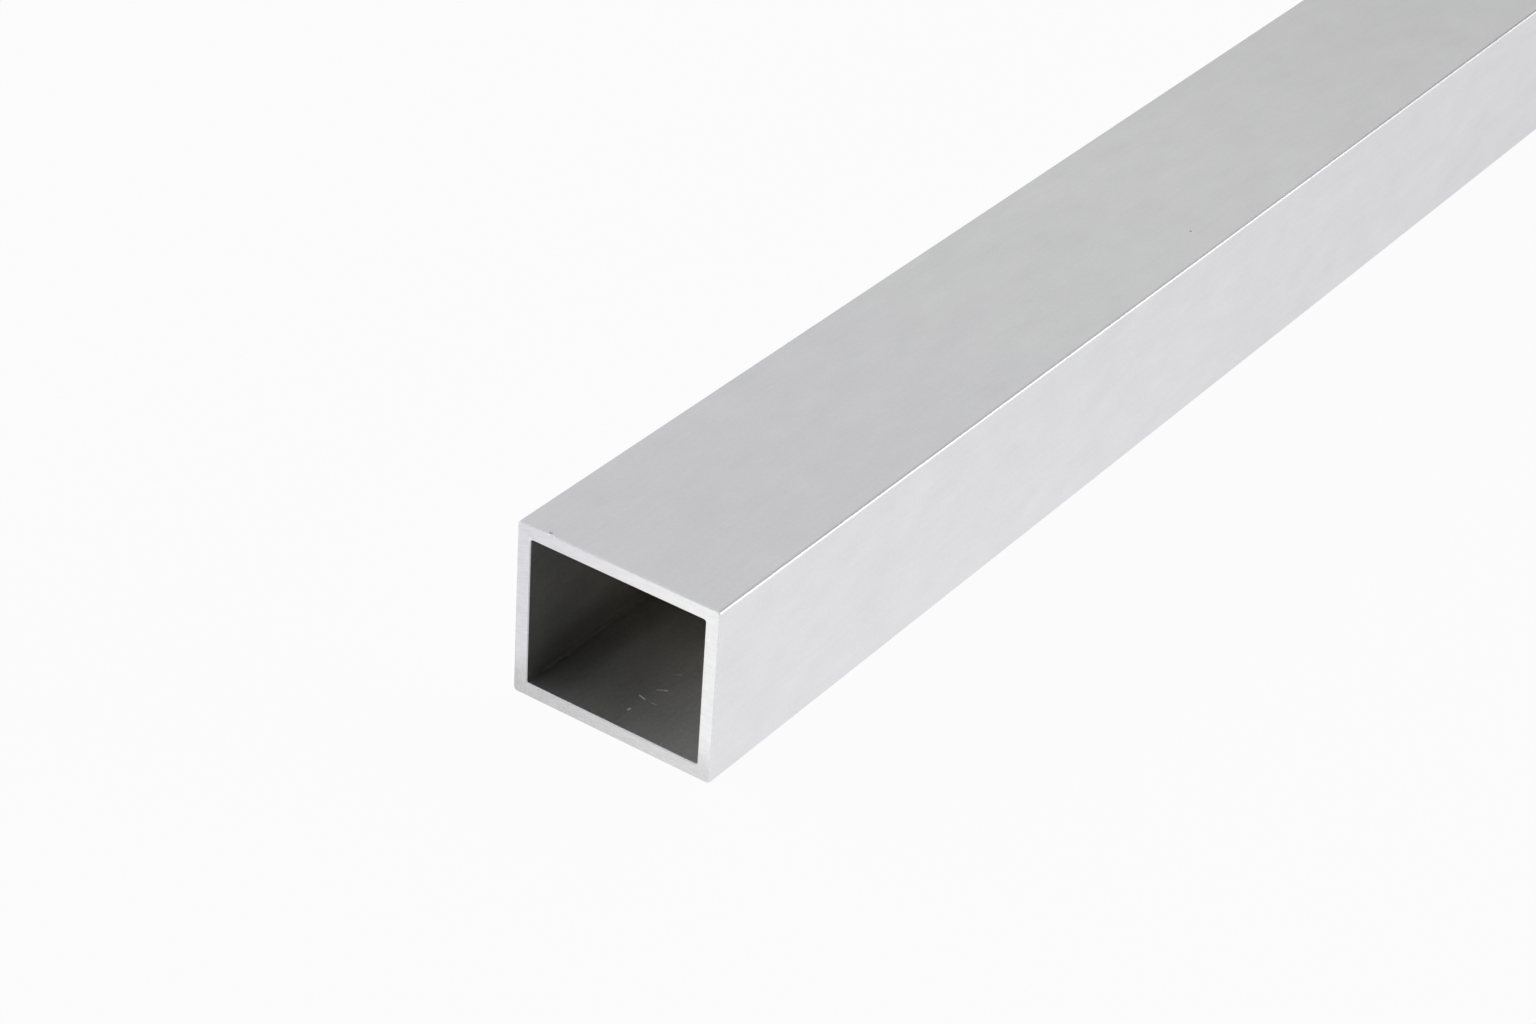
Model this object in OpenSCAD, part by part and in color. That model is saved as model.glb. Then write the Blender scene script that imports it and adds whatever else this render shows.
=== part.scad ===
// Rectangular aluminium tube, extruded in one piece and sawn square to length.
// The tube lies along Y on its wide side. The origin is the middle of its underside.

/* [Section] */
// Outside width of the tube
tube_w = 30; // [20:1:60]
// Outside height of the tube
tube_h = 25; // [20:1:60]
// Thickness of the wall, the same on all four sides
wall = 2; // [1.5:0.1:4]
// Radius of the four outside corners
outer_corner_r = 0.5; // [0.4:0.1:1.4]
// Radius of the four inside corners
inner_corner_r = 0.3; // [0.2:0.1:1]

/* [Length] */
// Length of the tube between its sawn ends
tube_l = 1000; // [250:10:3000]
// Width of the edge break that deburring leaves round both sawn ends
edge_break = 0.15; // [0.05:0.05:0.3]

/* [Finish] */
// Bare aluminium as it leaves the die
metal_colour = [0.78, 0.79, 0.80];

/* [Hidden] */
bore_w = tube_w - 2 * wall;
bore_h = tube_h - 2 * wall;
half_l = tube_l / 2;
// The bore cutter runs on past both sawn faces
overrun = 1;
// Directions in which an edge break leans, seen from the middle of the tube
inwards = -1;
outwards = 1;
$fn = 64;

// Points (along, across) of one side of a bar from end to end, at a distance from its axis.
// Beyond the edge break the side leans at 45 degrees, as far as the end of the bar.
function side_points(distance, bar_end, lean) = [
    [-bar_end, distance + lean * (bar_end - half_l + edge_break)],
    [edge_break - half_l, distance],
    [half_l - edge_break, distance],
    [bar_end, distance + lean * (bar_end - half_l + edge_break)]
];

// The same side and its mirror image across the axis, as one closed profile
module bar_profile(distance, bar_end, lean) {
    side = side_points(distance, bar_end, lean);
    far_side = [for (i = [len(side) - 1 : -1 : 0]) [side[i][0], -side[i][1]]];
    polygon(concat(side, far_side));
}

// A corner of the bar, turned round the corner's own centre line
module bar_corner(corner_r, bar_end, lean) {
    side = side_points(corner_r, bar_end, lean);
    rotate([-90, 0, 0])
        rotate_extrude()
            polygon(concat([[0, -bar_end]], [for (p = side) [p[1], p[0]]], [[0, bar_end]]));
}

// A straight bar along Y with true round corners and an edge break at both ends
module rounded_bar(bar_w, bar_h, corner_r, bar_end, lean) {
    flat_w = bar_w - 2 * corner_r;
    flat_h = bar_h - 2 * corner_r;
    union() {
        // Top and bottom flats
        rotate([90, 0, 90])
            linear_extrude(height = flat_w, center = true)
                bar_profile(bar_h / 2, bar_end, lean);
        // Side flats
        linear_extrude(height = flat_h, center = true)
            rotate(90)
                bar_profile(bar_w / 2, bar_end, lean);
        // Round corners
        for (x = [-flat_w / 2, flat_w / 2], z = [-flat_h / 2, flat_h / 2])
            translate([x, 0, z])
                bar_corner(corner_r, bar_end, lean);
    }
}

// The tube: one extrusion with a plain bore right through it
module tube() {
    color(metal_colour)
        translate([0, 0, tube_h / 2])
            difference() {
                rounded_bar(tube_w, tube_h, outer_corner_r, half_l, inwards);
                rounded_bar(bore_w, bore_h, inner_corner_r, half_l + overrun, outwards);
            }
}

tube();
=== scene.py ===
import math

import bmesh
import bpy
from mathutils import Matrix, Vector, noise


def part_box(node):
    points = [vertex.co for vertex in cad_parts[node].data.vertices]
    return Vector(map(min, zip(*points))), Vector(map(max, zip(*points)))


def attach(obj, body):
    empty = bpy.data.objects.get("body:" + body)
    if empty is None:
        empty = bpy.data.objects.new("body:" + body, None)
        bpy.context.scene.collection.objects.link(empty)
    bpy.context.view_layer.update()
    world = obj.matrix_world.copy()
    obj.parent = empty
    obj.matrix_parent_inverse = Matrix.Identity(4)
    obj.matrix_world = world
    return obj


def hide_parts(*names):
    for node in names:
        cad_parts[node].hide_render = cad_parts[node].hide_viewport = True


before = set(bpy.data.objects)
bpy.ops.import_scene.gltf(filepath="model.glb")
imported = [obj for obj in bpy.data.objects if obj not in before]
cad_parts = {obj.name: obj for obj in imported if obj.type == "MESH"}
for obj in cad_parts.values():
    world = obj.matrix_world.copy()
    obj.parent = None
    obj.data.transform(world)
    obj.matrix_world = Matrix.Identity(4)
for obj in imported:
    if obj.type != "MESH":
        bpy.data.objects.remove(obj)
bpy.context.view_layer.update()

MM = 0.001
QUARTER_TURN = math.radians(90)
# The ways of the tube's own frame, and what of a place lies in its section
ACROSS = (1, 0, 0)
ALONG = (0, 1, 0)
UP = (0, 0, 1)
IN_SECTION = (1, 0, 1)

# The section and the length. The outside sizes come from the frame.
LOW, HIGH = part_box("tube")
WIDTH = HIGH.x - LOW.x
HEIGHT = HIGH.z - LOW.z
MIDDLE_Z = (LOW.z + HIGH.z) / 2
WALL = 2 * MM
BORE_WIDTH = WIDTH - 2 * WALL
BORE_HEIGHT = HEIGHT - 2 * WALL
OUTER_CORNER = 0.5 * MM
INNER_CORNER = 0.3 * MM
EDGE_BREAK = 0.15 * MM
# Points closer together than this are one point
TOUCHING = EDGE_BREAK / 4

# How finely the tube is divided. The rows along it grow from the sawn ends to the middle.
CORNER_STEPS = 6
STEPS_ACROSS = 140
STEPS_UP = 184
RIM_ROWS = 18
FIRST_ROW = 0.3 * MM
ROW_GROWTH = 1.6
MOST_SIDES = 4
SHARP_ANGLE = math.radians(30)

# Places of the finishes in the tube's list of materials
SKIN, BORE, SAWN, FILED = range(4)

# Relief that is sunk into the metal: how deep it is at most, the share of that depth that is even, and the
# shares that the patterns add or take away
EVEN_SHARE = 0.5
DIE_LINE_DEPTH = 0.004 * MM
DIE_LINE_SHARE = 0.25
DIE_LINES_PER_METRE = 1500
DIE_BANDS_PER_METRE = 350
SAW_MARK_DEPTH = 0.014 * MM
SAW_MARK_SHARE = 0.35
SAW_SWELL_SHARE = 0.15
SAW_MARKS_PER_METRE = 2600
SAW_SWELLS_PER_METRE = SAW_MARKS_PER_METRE / 8
# The middle of the saw blade, which the saw marks curve round
SAW_CENTRE = Vector((30 * MM, 0, -109 * MM))

# Fineness of each grain in the finishes: repeats per metre across, along and up the tube
LINE_GRAIN = (1600, 2.5, 1600)
STREAK_GRAIN = (1400, 120, 1400)
SPECK_GRAIN = (3000, 1500, 3000)
BLOTCH_GRAIN = (260, 130, 260)
CLOUD_GRAIN = (45, 18, 45)
SMEAR_GRAIN = (500, 500, 1100)
SAW_LINES_PER_METRE = 4200
SOFT_DETAIL = 2
FINE_DETAIL = 3
# Depth of the grain that is too fine for the mesh, and how much of the lines goes into it beside the specks
LINE_RELIEF = 0.01 * MM
SAW_RELIEF = 0.012 * MM
LINE_SHARE = 0.3

# Tints of the metal
COLD_METAL = (1.0, 1.0, 1.03)
PLAIN_METAL = (0.997, 1.0, 1.0)
LILAC_METAL = (1.0, 0.992, 1.04)
WARM_METAL = (1.05, 1.0, 0.9)
BRIGHT_METAL = (0.96, 0.96, 0.95)
PIT_AND_SHADOW_METAL = (0.3, 0.29, 0.27)

# The skin's brightness, and what lines, streaks, specks, blotches and clouds add to it
SKIN_LEVEL = 0.65
SKIN_GRAINS = (0.012, 0.036, 0.072, 0.072, 0.048)
# The skin's roughness, and what lines and clouds add to it
SKIN_ROUGHNESS = 0.36
SKIN_ROUGHER = (0.04, 0.08)
# Distances in from an end between which the skin goes from cold to plain, and how far clouds shift them
TINT_CHANGES = (60 * MM, 170 * MM)
TINT_WANDERS = 100 * MM
# Distances in from an end between which the painted shade on the skin deepens, and the brightness that it
# takes away before and after them: on the outside corners, and on all but the right side
SHADE_DEEPENS = (120 * MM, 220 * MM)
CORNER_LOSS = (0.2, 0.42)
FLAT_LOSS = (0, 0.06)
# How far past the centre of an outside corner's curve, both ways, the painted corner shade starts and is full
CORNER_SHADE_SPAN = (0.4 * OUTER_CORNER, 0.65 * OUTER_CORNER)

# The bore's brightness, darker than the skin's as painted shade, and what lines, streaks, specks, clouds and
# the painted highlight by the lower left corner add to it
BORE_LEVEL = 0.19
BORE_GRAINS = (0.03, 0.05, 0.12, 0.08, 0.02)
# Painted light: how many times as bright it is at its left and at its right, and the places between which
# that changes
BORE_PAINTED_SIDE_LIGHT = (0.93, 1.76)
BORE_SIDES = (LOW.x / 3, BORE_WIDTH / 2)
# Painted light: the share that it gains deep inside at its left and at its right, and the places between
BORE_PAINTED_DEEP_LIGHT = (0.55, 0.8)
DEEP_SIDES = (LOW.x / 2, BORE_WIDTH / 8)
# The lightest that the metal gets inside the bore
BRIGHTEST_BORE = 0.8
# Distances in from an end between which the bore's metal goes from cold to warm, and the painted light deep
# inside grows
BORE_WARMS = (3 * MM, 24 * MM)
# The bore's roughness with what clouds add to it, and the share of bare metal that its oxide leaves
BORE_ROUGHNESS = 0.46
BORE_ROUGHER = 0.1
BORE_BARE = 0.35

# Heights between which the sawn rim goes from darker at the bottom, as painted shade, to its full brightness.
# The shaded and the full rim each have their brightness, what the right side adds to it as painted light, and
# what specks add.
RIM_SHADE_HEIGHTS = (1 * MM, 7 * MM)
RIM_LEVEL = (0.345, 0.56)
RIM_RIGHT = (0.135, 0.17)
RIM_SPECKS = (0.2, 0.08)
# What saw marks and smears add to the rim's brightness
RIM_GRAINS = (0.09, 0.2)
RIM_ROUGHNESS = 0.34
RIM_ROUGHER = 0.14
# Distances from the bore between which the rim goes from plain to burnished by deburring
BURNISHED = (0.24 * MM, 0.16 * MM)

# The filed edges' brightness, and what they gain: painted light on those that face up or right together with
# the edges round the bore, painted light on the right side, scratches, and the lip
EDGE_LEVEL = 0.27
EDGE_GAINS = (0.47, 0.15, 0.2, 0.15)
# How far from the middle of the wall the outer edges end and those round the bore begin
EDGE_SPREAD = WALL / 4
EDGE_ROUGHNESS = 0.75
EDGE_ROUGHER = 0.1

# Shares of a mark's width between which it fades out and is full
MARK_FADES = (0.7, 0.3)
# Each mark below has its start, its end and its width. First a small dark pit in the top face.
PIT_START = Vector((10 * MM, LOW.y + 118 * MM, HIGH.z))
PIT_SIZE = 0.3 * MM
PIT = (PIT_START, PIT_START + Vector((0, PIT_SIZE / 4, 0)), PIT_SIZE)
# Light nicks on the floor of the bore, in millimetres from the middle and in from the front end
NICKS = (
    ((-0.05, 3.6), (0.0, 3.9), 0.3),
    ((-0.75, 6.85), (0.2, 6.6), 0.22),
    ((0.2, 9.15), (1.15, 9.75), 0.16),
    ((1.1, 9.7), (1.2, 9.75), 0.35),
    ((1.2, 6.5), (2.0, 6.6), 0.1),
    ((0.1, 13.3), (0.6, 13.5), 0.12),
)
# A faint painted highlight beside the lower left corner of the bore
LOWER_LEFT_GLINT_HEIGHT = LOW.z + WALL + 0.9 * MM
LOWER_LEFT_GLINT = (Vector((LOW.x + WALL, LOW.y + 9 * MM, LOWER_LEFT_GLINT_HEIGHT)),
         Vector((LOW.x + WALL, LOW.y + 25 * MM, LOWER_LEFT_GLINT_HEIGHT)), 0.5 * MM)
# Painted shade along that corner
LOWER_LEFT_SHADE = (Vector((LOW.x + WALL, LOW.y, LOW.z + WALL)), Vector((LOW.x + WALL, HIGH.y, LOW.z + WALL)), 9 * MM)
LOWER_LEFT_SHADE_DARKNESS = 0.25

# A knock on the front end's top edge: a small pit just behind the edge, and the lip that it raised
KNOCK = Vector((-10.3 * MM, LOW.y + 0.42 * MM, HIGH.z))
KNOCK_RADIUS = 0.3 * MM
KNOCK_DEPTH = 0.08 * MM
# The pit is darkened in the colour as painted shadow behind the lip
KNOCK_SHADOW = (KNOCK, KNOCK + Vector((0.1 * MM, 0, 0)), 0.4 * MM)
KNOCK_SHADOW_DARKNESS = 0.6
LIP_START = Vector((-10.4 * MM, LOW.y, HIGH.z))
LIP_END = Vector((-9.5 * MM, LOW.y, HIGH.z))
LIP_MARK = (LIP_START, LIP_END, 0.3 * MM)
# How much of the edge break the lip fills, and how far in from the end the lip reaches
LIP_FILL = 0.6
LIP_REACH = 1.1 * EDGE_BREAK
# How far round the knock the mesh is divided more finely, and into how many more cuts
KNOCK_REACH = 1.6 * MM
KNOCK_CUTS = 3

# The camera, from the tube's front lower left corner
CAMERA_PLACE = Vector((223.85 * MM, -286.94 * MM, 263.94 * MM))
CAMERA_AZIMUTH = math.radians(33.267)
CAMERA_ELEVATION = math.radians(32.969)
CAMERA_ROLL = math.radians(4.068)
CAMERA_LENS = 85.16
CAMERA_NEAR = 10 * MM
SENSOR_WIDTH = 36

# The studio. The room's brightness in front and behind, and how far towards white the metal sees it there.
# The turns say how far along the tube one looks where each starts to change and where it has changed.
ROOM_LEVEL = (0.02, 0.34)
ROOM_TURNS = (-0.4, 0.8)
ROOM_MIRRORED = (0.27, 0.4)
ROOM_MIRRORED_TURNS = (-0.5, 0)
# How far towards white the metal sees the floor in front and further back, and where that changes
FLOOR_MIRRORED = (0.98, 0.8)
FLOOR_MIRRORED_TURNS = (LOW.y, LOW.y / 2)
# How far towards white the camera sees the floor
FLOOR_LIFT = 0.95
FLOOR_PAINT = (0.9, 0.9, 0.9, 1)
FLOOR_HALF_WIDTH = 40
WHITE = (1, 1, 1, 1)
# Watts that a square metre of lamp needs for a brightness of 1
LAMP_WATTS = 4

# Numbers of the Mix node's sockets for vectors
MIX_FIRST, MIX_SECOND, MIX_RESULT = 4, 5, 1


class Wire:
    """One output in a node tree. Arithmetic on it adds the Math nodes that work it out."""

    def __init__(self, finish, socket):
        self.finish = finish
        self.socket = socket

    def math(self, operation, *values):
        return self.finish.add("ShaderNodeMath", {"operation": operation}, dict(enumerate(values)))

    def __add__(self, other):
        return self.math("ADD", self, other)

    def __radd__(self, other):
        return self.math("ADD", other, self)

    def __sub__(self, other):
        return self.math("SUBTRACT", self, other)

    def __rsub__(self, other):
        return self.math("SUBTRACT", other, self)

    def __mul__(self, other):
        return self.math("MULTIPLY", self, other)

    def __rmul__(self, other):
        return self.math("MULTIPLY", other, self)

    def at_least(self, other):
        return self.math("MAXIMUM", self, other)

    def at_most(self, other):
        return self.math("MINIMUM", self, other)

    def size(self):
        """The value without its sign."""
        return self.math("ABSOLUTE", self)

    def fellow(self, output):
        """Another output of the same node."""
        return Wire(self.finish, self.socket.node.outputs[output])


class Finish:
    """The node tree of a material or of the world."""

    def __init__(self, owner):
        owner.use_nodes = True
        self.tree = owner.node_tree
        self.tree.nodes.clear()

    def add(self, kind, settings=None, inputs=None, output=0):
        """Adds a node, sets it up, fills its sockets by name or number, and returns one output."""
        node = self.tree.nodes.new(kind)
        for name, value in (settings or {}).items():
            setattr(node, name, value)
        for name, value in (inputs or {}).items():
            if isinstance(value, Wire):
                self.tree.links.new(value.socket, node.inputs[name])
            else:
                node.inputs[name].default_value = value
        if len(node.outputs):
            return Wire(self, node.outputs[output])

    def grain(self, place, per_metre, detail=SOFT_DETAIL):
        """Soft noise from 0 to 1, with its own number of repeats per metre along each axis."""
        stretched = self.vector("MULTIPLY", place, per_metre)
        return self.add("ShaderNodeTexNoise", None, {"Vector": stretched, "Scale": 1, "Detail": detail})

    def ramp(self, value, start, end, low=0, high=1):
        """A smooth change from low to high as value goes from start to end."""
        return self.add("ShaderNodeMapRange", {"interpolation_type": "SMOOTHSTEP"},
                        {"Value": value, "From Min": start, "From Max": end, "To Min": low, "To Max": high})

    def blend(self, share, first, second):
        """A colour between two colours."""
        return self.add("ShaderNodeMix", {"data_type": "VECTOR"},
                        {0: share, MIX_FIRST: first, MIX_SECOND: second}, output=MIX_RESULT)

    def place(self):
        """Where on the tube, in metres in the tube's own frame."""
        return self.add("ShaderNodeTexCoord", output="Object")

    def vector(self, operation, first, second):
        """Arithmetic on places and directions."""
        return self.add("ShaderNodeVectorMath", {"operation": operation}, {0: first, 1: second})

    def length(self, arrow):
        """How long an arrow is."""
        return self.add("ShaderNodeVectorMath", {"operation": "LENGTH"}, {0: arrow}, output="Value")

    def along(self, arrow, way):
        """How far an arrow reaches along a direction."""
        return self.add("ShaderNodeVectorMath", {"operation": "DOT_PRODUCT"}, {0: arrow, 1: way},
                        output="Value")

    def inwards(self, place):
        """How far in from the nearer end."""
        return HIGH.y - self.along(place, ALONG).size()

    def shade(self, colour, level):
        """A colour made lighter or darker."""
        return self.add("ShaderNodeVectorMath", {"operation": "SCALE"}, {0: colour, "Scale": level})

    def mark(self, place, start, end, width):
        """1 on a short straight mark and 0 away from it, with a soft edge."""
        way = end - start
        from_start = self.vector("SUBTRACT", place, start)
        share = self.along(from_start, way / way.length_squared).at_least(0).at_most(1)
        off = self.length(self.vector("SUBTRACT", from_start, self.shade(way, share)))
        fades, full = MARK_FADES
        return self.ramp(off, width * fades, width * full)

    def beyond(self, place, half_width, half_height):
        """How far a place lies beyond the sides and beyond the top or bottom of a box round the axis."""
        off = self.add("ShaderNodeVectorMath", {"operation": "ABSOLUTE"},
                       {0: self.vector("SUBTRACT", place, (0, 0, MIDDLE_Z))})
        past = self.vector("SUBTRACT", off, (half_width, 0, half_height))
        sides = self.add("ShaderNodeSeparateXYZ", None, {0: past})
        return sides, sides.fellow("Z")

    def bore_edge(self, place):
        """1 on the rim beside the bore and 0 away from it."""
        sideways, up = self.beyond(place, BORE_WIDTH / 2, BORE_HEIGHT / 2)
        return self.ramp(sideways.at_least(up), *BURNISHED)

    def corners(self, place):
        """1 on the tube's four outside corners and 0 on its flats."""
        sideways, up = self.beyond(place, WIDTH / 2 - OUTER_CORNER, HEIGHT / 2 - OUTER_CORNER)
        return self.ramp(sideways.at_most(up), *CORNER_SHADE_SPAN)

    def lifted(self, camera_share, mirror_share):
        """How far towards white the camera and, less far, the metal see the surroundings."""
        camera = self.add("ShaderNodeLightPath", output="Is Camera Ray")
        glossy = self.add("ShaderNodeLightPath", output="Is Glossy Ray")
        through = self.add("ShaderNodeLightPath", output="Is Transmission Ray")
        return (camera * camera_share).at_least(glossy.at_least(through) * mirror_share)

    def metal(self, colour, rough, relief, depth, bare=1):
        """The metal itself, with relief of a depth in metres. Dull oxide makes it less than bare."""
        bumped = self.add("ShaderNodeBump", None, {"Distance": depth, "Height": relief})
        shader = self.add("ShaderNodeBsdfPrincipled", None,
                          {"Base Color": colour, "Metallic": bare, "Roughness": rough, "Normal": bumped})
        self.add("ShaderNodeOutputMaterial", None, {"Surface": shader})


def weighed(start, weights, grains):
    """A starting value with grains added to it, each by its own weight."""
    return sum((weight * grain for weight, grain in zip(weights, grains)), start)


def mill_skin():
    """Bare aluminium as it leaves the die: satin, with fine lines and short streaks along its length."""
    material = bpy.data.materials.new("mill_skin")
    finish = Finish(material)
    place = finish.place()
    lines = finish.grain(place, LINE_GRAIN, FINE_DETAIL)
    streaks = finish.grain(place, STREAK_GRAIN)
    specks = finish.grain(place, SPECK_GRAIN)
    blotches = finish.grain(place, BLOTCH_GRAIN)
    clouds = finish.grain(place, CLOUD_GRAIN, FINE_DETAIL)
    inwards = finish.inwards(place)
    off_right_side = finish.ramp(finish.along(place, ACROSS), HIGH.x, HIGH.x - OUTER_CORNER)
    plain = off_right_side * finish.ramp(inwards + TINT_WANDERS * clouds, *TINT_CHANGES)
    tint = finish.blend(plain, COLD_METAL, PLAIN_METAL)
    # Painted shade: darker outside corners, and all but the right side darker further in from an end
    outer_corner_shade = finish.corners(place) * finish.ramp(inwards, *SHADE_DEEPENS, *CORNER_LOSS)
    painted_shade_factor = 1 - outer_corner_shade - off_right_side * finish.ramp(inwards, *SHADE_DEEPENS, *FLAT_LOSS)
    level = weighed(SKIN_LEVEL, SKIN_GRAINS, (lines, streaks, specks, blotches, clouds))
    # A dark pit in the top face, and painted shadow in the knock's pit
    dark = finish.mark(place, *PIT).at_least(KNOCK_SHADOW_DARKNESS * finish.mark(place, *KNOCK_SHADOW))
    colour = finish.blend(dark, finish.shade(tint, level * painted_shade_factor), PIT_AND_SHADOW_METAL)
    rough = weighed(SKIN_ROUGHNESS, SKIN_ROUGHER, (lines, clouds))
    finish.metal(colour, rough, LINE_SHARE * lines + specks, LINE_RELIEF)
    return material


def on_bore_floor(across, inwards):
    """A place on the floor of the bore, in millimetres from the middle and in from the front end."""
    return Vector((across * MM, LOW.y + inwards * MM, LOW.z + WALL))


def bore_skin():
    """The same metal inside the bore, rougher and less bare, with a few light nicks near the front end. Its
    colour is darker as painted shade, and lighter to the right and deep inside as painted light.
    """
    material = bpy.data.materials.new("bore_skin")
    finish = Finish(material)
    place = finish.place()
    lines = finish.grain(place, LINE_GRAIN, FINE_DETAIL)
    streaks = finish.grain(place, STREAK_GRAIN)
    specks = finish.grain(place, SPECK_GRAIN)
    clouds = finish.grain(place, BLOTCH_GRAIN, FINE_DETAIL)
    nicks = 0
    for start, end, width in NICKS:
        nicks = finish.mark(place, on_bore_floor(*start), on_bore_floor(*end), width * MM).at_least(nicks)
    deep = finish.ramp(finish.inwards(place), *BORE_WARMS)
    tint = finish.blend(deep * deep, PLAIN_METAL, WARM_METAL)
    # Painted highlight beside the lower left corner of the bore
    lower_left_glint = finish.mark(place, *LOWER_LEFT_GLINT)
    # Painted shade along the lower left corner of the bore
    lower_left_shade = finish.mark(place, *LOWER_LEFT_SHADE)
    # Painted light: the bore is lighter towards the right, and deep inside
    painted_side_light = finish.ramp(finish.along(place, ACROSS), *BORE_SIDES, *BORE_PAINTED_SIDE_LIGHT)
    painted_deep_light = finish.ramp(finish.along(place, ACROSS), *DEEP_SIDES, *BORE_PAINTED_DEEP_LIGHT)
    level = weighed(BORE_LEVEL, BORE_GRAINS, (lines, streaks, specks, clouds, lower_left_glint))
    level = level * painted_side_light * (1 + painted_deep_light * deep) * (1 - LOWER_LEFT_SHADE_DARKNESS * lower_left_shade)
    colour = finish.blend(nicks, finish.shade(tint, level.at_most(BRIGHTEST_BORE)), BRIGHT_METAL)
    rough = BORE_ROUGHNESS + BORE_ROUGHER * clouds
    finish.metal(colour, rough, LINE_SHARE * lines + specks, LINE_RELIEF, BORE_BARE - BORE_BARE * nicks)
    return material


def sawn_face():
    """A fresh saw cut: brighter metal with fine curved marks, burnished along the edge of the bore."""
    material = bpy.data.materials.new("sawn_face")
    finish = Finish(material)
    place = finish.place()
    from_centre = finish.vector("SUBTRACT", place, SAW_CENTRE)
    radius = finish.length(finish.vector("MULTIPLY", from_centre, IN_SECTION))
    marks = finish.add("ShaderNodeTexNoise", {"noise_dimensions": "1D"},
                       {"W": radius, "Scale": SAW_LINES_PER_METRE, "Detail": FINE_DETAIL})
    smears = finish.grain(place, SMEAR_GRAIN, FINE_DETAIL)
    specks = finish.grain(place, SPECK_GRAIN)
    # Painted light: the rim is brighter towards the right, and darker at the bottom as painted shade
    right = finish.ramp(finish.along(place, ACROSS), LOW.x, HIGH.x)
    height = finish.along(place, UP)
    out_of_rim_shade = finish.ramp(height, *RIM_SHADE_HEIGHTS)
    tint = finish.blend(right.at_least(1 - out_of_rim_shade), LILAC_METAL, PLAIN_METAL)
    level = weighed(finish.ramp(height, *RIM_SHADE_HEIGHTS, *RIM_LEVEL), RIM_GRAINS, (marks, smears))
    level = level + right * finish.ramp(height, *RIM_SHADE_HEIGHTS, *RIM_RIGHT)
    level = level + specks * finish.ramp(height, *RIM_SHADE_HEIGHTS, *RIM_SPECKS)
    colour = finish.blend(finish.bore_edge(place) * out_of_rim_shade, finish.shade(tint, level), BRIGHT_METAL)
    finish.metal(colour, RIM_ROUGHNESS + RIM_ROUGHER * smears, marks, SAW_RELIEF)
    return material


def filed_edge():
    """The narrow edge breaks at both ends, roughened by deburring. Those round the bore are brighter, and
    those that face up or right are brighter as painted light, so the lower and left ones stay darker as
    painted shade."""
    material = bpy.data.materials.new("filed_edge")
    finish = Finish(material)
    place = finish.place()
    scratches = finish.grain(place, SPECK_GRAIN, FINE_DETAIL)
    # Painted light: brighter towards the right and the top
    right = finish.ramp(finish.along(place, ACROSS), HIGH.x - WALL / 2, HIGH.x)
    upper = finish.ramp(finish.along(place, UP), LOW.z, HIGH.z)
    sideways, up = finish.beyond(place, WIDTH / 2 - WALL / 2, HEIGHT / 2 - WALL / 2)
    inner = finish.ramp(sideways.at_least(up), EDGE_SPREAD, -EDGE_SPREAD)
    painted_light_and_bore_edges = upper.at_least(right).at_least(inner)
    lip = finish.mark(place, *LIP_MARK)
    level = weighed(EDGE_LEVEL, EDGE_GAINS, (painted_light_and_bore_edges, right, scratches, lip))
    rough = EDGE_ROUGHNESS + EDGE_ROUGHER * scratches
    finish.metal(finish.shade(COLD_METAL, level), rough, scratches, SAW_RELIEF)
    return material


def outline(bm, width, height, corner):
    """A closed loop round the section at the front end, with turned corners and even steps."""
    upright = Matrix.Translation((0, LOW.y, MIDDLE_Z)) @ Matrix.Rotation(QUARTER_TURN, 4, "X")
    place = upright @ Matrix.Diagonal((width / 2, height / 2, 1, 1))
    corners = bmesh.ops.create_grid(bm, x_segments=1, y_segments=1, size=1, matrix=place)["verts"]
    bmesh.ops.bevel(bm, geom=corners, offset=corner, offset_type="OFFSET", segments=CORNER_STEPS,
                    profile=0.5, affect="VERTICES", material=-1)
    flats = [e for f in bm.faces for e in f.edges if e.calc_length() > height / 2]
    level = [e for e in flats if abs(e.verts[0].co.z - e.verts[1].co.z) < EDGE_BREAK]
    steep = [e for e in flats if e not in level]
    bmesh.ops.delete(bm, geom=bm.faces[:], context="FACES_ONLY")
    bmesh.ops.subdivide_edges(bm, edges=level, cuts=STEPS_ACROSS - 1)
    bmesh.ops.subdivide_edges(bm, edges=steep, cuts=STEPS_UP - 1)


def extend(bm, loops, distance):
    """Draws the loops out along the tube and returns the new loops."""
    made = bmesh.ops.extrude_edge_only(bm, edges=loops)["geom"]
    verts = {v for v in made if isinstance(v, bmesh.types.BMVert)}
    bmesh.ops.translate(bm, verts=list(verts), vec=(0, distance, 0))
    return [e for e in made if isinstance(e, bmesh.types.BMEdge) and verts.issuperset(e.verts)]


def front_half(bm):
    """The tube from its front end to the middle: rim, outer skin, bore and edge breaks."""
    outline(bm, WIDTH, HEIGHT, OUTER_CORNER)
    outline(bm, BORE_WIDTH, BORE_HEIGHT, INNER_CORNER)
    rim_edges = bm.edges[:]
    bmesh.ops.bridge_loops(bm, edges=rim_edges)
    loops, reached, row = rim_edges, LOW.y, FIRST_ROW
    while reached < 0:
        step = min(row, -reached)
        loops = extend(bm, loops, step)
        reached += step
        row *= ROW_GROWTH
    bmesh.ops.bevel(bm, geom=rim_edges, offset=EDGE_BREAK, offset_type="OFFSET", segments=1,
                    profile=0.5, affect="EDGES", material=-1)
    spokes = [e for e in bm.edges if on_end(e.verts[0].co) and on_end(e.verts[1].co)
              and e.calc_length() > WALL / 2]
    bmesh.ops.subdivide_edges(bm, edges=spokes, cuts=RIM_ROWS - 1, use_grid_fill=True)


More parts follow.
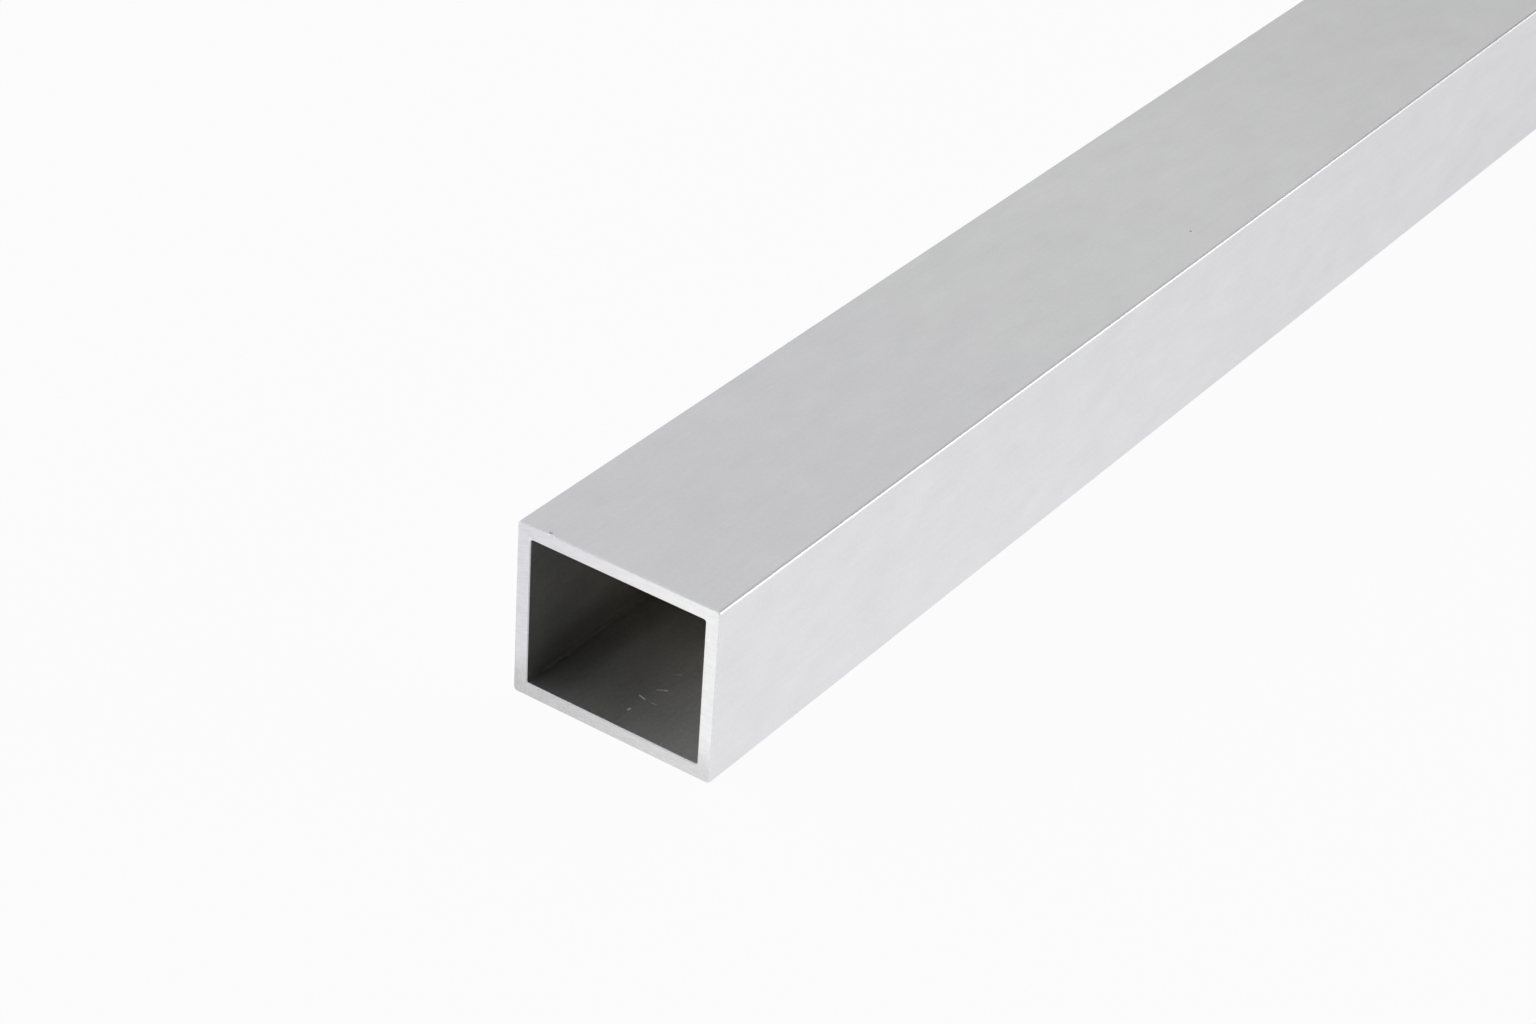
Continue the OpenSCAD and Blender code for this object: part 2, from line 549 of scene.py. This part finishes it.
def on_end(point):
    """Whether a point lies on one of the two sawn faces."""
    return HIGH.y - abs(point.y) < TOUCHING


def in_bore(point):
    """Whether a point lies in the bore or on its edge."""
    inside_x = abs(point.x) < BORE_WIDTH / 2 + EDGE_BREAK
    return inside_x and abs(point.z - MIDDLE_Z) < BORE_HEIGHT / 2 + EDGE_BREAK


def die_lines(bm):
    """Sinks fine lines into the skin and the bore, the same all along the tube."""
    for vert in bm.verts:
        if on_end(vert.co):
            continue
        out = Vector((vert.normal.x, 0, vert.normal.z)).normalized()
        across = Vector((vert.co.x, 0, vert.co.z))
        line = noise.noise(across * DIE_LINES_PER_METRE) + noise.noise(across * DIE_BANDS_PER_METRE)
        vert.co -= out * DIE_LINE_DEPTH * (EVEN_SHARE + DIE_LINE_SHARE * line)


def saw_marks(bm):
    """Sinks curved marks into both sawn faces."""
    for vert in bm.verts:
        if not on_end(vert.co):
            continue
        side = math.copysign(1, vert.co.y)
        radius = Vector((vert.co.x * -side, 0, vert.co.z)) - SAW_CENTRE
        mark = noise.noise(Vector((radius.length * SAW_MARKS_PER_METRE, side, 0)))
        swell = noise.noise(Vector((vert.co.x, side, vert.co.z)) * SAW_SWELLS_PER_METRE)
        vert.co.y -= side * SAW_MARK_DEPTH * (EVEN_SHARE + SAW_MARK_SHARE * mark + SAW_SWELL_SHARE * swell)


def knock(bm):
    """Presses the pit into the top skin, and fills the edge break in front of it with the lip."""
    near = [e for e in bm.edges if all((v.co - KNOCK).length < KNOCK_REACH for v in e.verts)]
    bmesh.ops.subdivide_edges(bm, edges=near, cuts=KNOCK_CUTS, use_grid_fill=True)
    bmesh.ops.triangulate(bm, faces=[f for f in bm.faces if len(f.verts) > MOST_SIDES])
    lip_middle = (LIP_START + LIP_END) / 2
    lip_half = (LIP_END - LIP_START).length / 2
    for vert in bm.verts:
        off = vert.co - KNOCK
        if off.length > KNOCK_REACH:
            continue
        sideways = min(1, abs(vert.co.x - lip_middle.x) / lip_half)
        if vert.co.y < LOW.y + LIP_REACH:
            below = EDGE_BREAK - abs(EDGE_BREAK + off.z)
            vert.co.z += LIP_FILL * max(0, below) * (1 - sideways ** 2)
        else:
            away = min(1, math.hypot(off.x, off.y) / KNOCK_RADIUS)
            vert.co.z -= KNOCK_DEPTH * (1 - away ** 2) ** 2


def build_tube():
    """The whole tube, with the relief that the die and the saw leave on it."""
    bm = bmesh.new()
    front_half(bm)
    bmesh.ops.mirror(bm, geom=bm.verts[:] + bm.edges[:] + bm.faces[:], merge_dist=TOUCHING, axis="Y")
    bmesh.ops.recalc_face_normals(bm, faces=bm.faces[:])
    bm.normal_update()
    die_lines(bm)
    saw_marks(bm)
    knock(bm)
    bm.normal_update()
    for face in bm.faces:
        centre = face.calc_center_median()
        if on_end(centre):
            face.material_index = SAWN
        elif HIGH.y - abs(centre.y) < EDGE_BREAK:
            face.material_index = FILED
        else:
            face.material_index = BORE if in_bore(centre) else SKIN
        face.smooth = True
    for edge in bm.edges:
        edge.smooth = edge.calc_face_angle(0) < SHARP_ANGLE
    mesh = bpy.data.meshes.new("extruded_tube")
    bm.to_mesh(mesh)
    bm.free()
    tube = bpy.data.objects.new("extruded_tube", mesh)
    bpy.context.scene.collection.objects.link(tube)
    for material in (mill_skin(), bore_skin(), sawn_face(), filed_edge()):
        mesh.materials.append(material)
    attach(tube, "root")
    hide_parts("tube")


def pale_floor():
    """A plain white floor. What the camera and the metal see of it is lifted towards white."""
    bm = bmesh.new()
    bmesh.ops.create_grid(bm, x_segments=1, y_segments=1, size=FLOOR_HALF_WIDTH)
    mesh = bpy.data.meshes.new("studio_floor")
    bm.to_mesh(mesh)
    bm.free()
    floor = bpy.data.objects.new("studio_floor", mesh)
    bpy.context.scene.collection.objects.link(floor)
    material = bpy.data.materials.new("studio_floor")
    finish = Finish(material)
    paint = finish.add("ShaderNodeBsdfDiffuse", None, {"Color": FLOOR_PAINT})
    white = finish.add("ShaderNodeEmission", None, {"Color": WHITE, "Strength": 1})
    backwards = finish.along(finish.place(), ALONG)
    mirrored = finish.ramp(backwards, *FLOOR_MIRRORED_TURNS, *FLOOR_MIRRORED)
    lifted = finish.lifted(FLOOR_LIFT, mirrored)
    surface = finish.add("ShaderNodeMixShader", None, {0: lifted, 1: paint, 2: white})
    finish.add("ShaderNodeOutputMaterial", None, {"Surface": surface})
    mesh.materials.append(material)


def studio_world():
    """A dim room with a pale backdrop behind the tube. The camera sees it as white."""
    world = bpy.data.worlds.new("studio")
    bpy.context.scene.world = world
    finish = Finish(world)
    direction = finish.add("ShaderNodeTexCoord", output="Generated")
    backwards = finish.along(direction, ALONG)
    room = finish.ramp(backwards, *ROOM_TURNS, *ROOM_LEVEL)
    mirrored = finish.ramp(backwards, *ROOM_MIRRORED_TURNS, *ROOM_MIRRORED)
    lifted = finish.lifted(1, mirrored)
    light = finish.add("ShaderNodeBackground", None, {"Color": WHITE, "Strength": room + lifted * (1 - room)})
    finish.add("ShaderNodeOutputWorld", None, {"Surface": light})


def softbox(name, azimuth, elevation, distance, width, height, radiance):
    """A flat lamp facing the front end. Azimuth runs clockwise from the way along the tube."""
    lamp = bpy.data.lights.new(name, "AREA")
    lamp.shape = "RECTANGLE"
    lamp.size = width
    lamp.size_y = height
    lamp.energy = radiance * width * height * LAMP_WATTS
    holder = bpy.data.objects.new(name, lamp)
    bpy.context.scene.collection.objects.link(holder)
    turn = Matrix.Rotation(math.radians(-azimuth), 4, "Z")
    rise = Matrix.Rotation(math.radians(elevation), 4, "X")
    way = (turn @ rise).to_3x3() @ Vector(ALONG)
    holder.location = Vector((0, LOW.y, MIDDLE_Z)) + way * distance
    holder.rotation_euler = (-way).to_track_quat("-Z", "Y").to_euler()
    holder.visible_camera = False


def camera():
    """Looks down on the front end from the right, as the photograph does."""
    data = bpy.data.cameras.new("camera")
    data.lens = CAMERA_LENS
    data.sensor_fit = "HORIZONTAL"
    data.sensor_width = SENSOR_WIDTH
    data.clip_start = CAMERA_NEAR
    view = bpy.data.objects.new("camera", data)
    bpy.context.scene.collection.objects.link(view)
    turn = Matrix.Rotation(CAMERA_AZIMUTH, 4, "Z")
    tip = Matrix.Rotation(QUARTER_TURN - CAMERA_ELEVATION, 4, "X")
    roll = Matrix.Rotation(CAMERA_ROLL, 4, "Z")
    view.matrix_world = Matrix.Translation(LOW + CAMERA_PLACE) @ turn @ tip @ roll
    bpy.context.scene.camera = view


build_tube()
pale_floor()
studio_world()
softbox("back_left", azimuth=-29, elevation=37, distance=3, width=3, height=2, radiance=0.15)
softbox("back_right", azimuth=50, elevation=11, distance=8, width=3.6, height=2.2, radiance=3.8)
softbox("front_left", azimuth=-127, elevation=33, distance=3, width=6.4, height=3.4, radiance=0.8)
camera()

bpy.context.scene.view_settings.view_transform = "Standard"
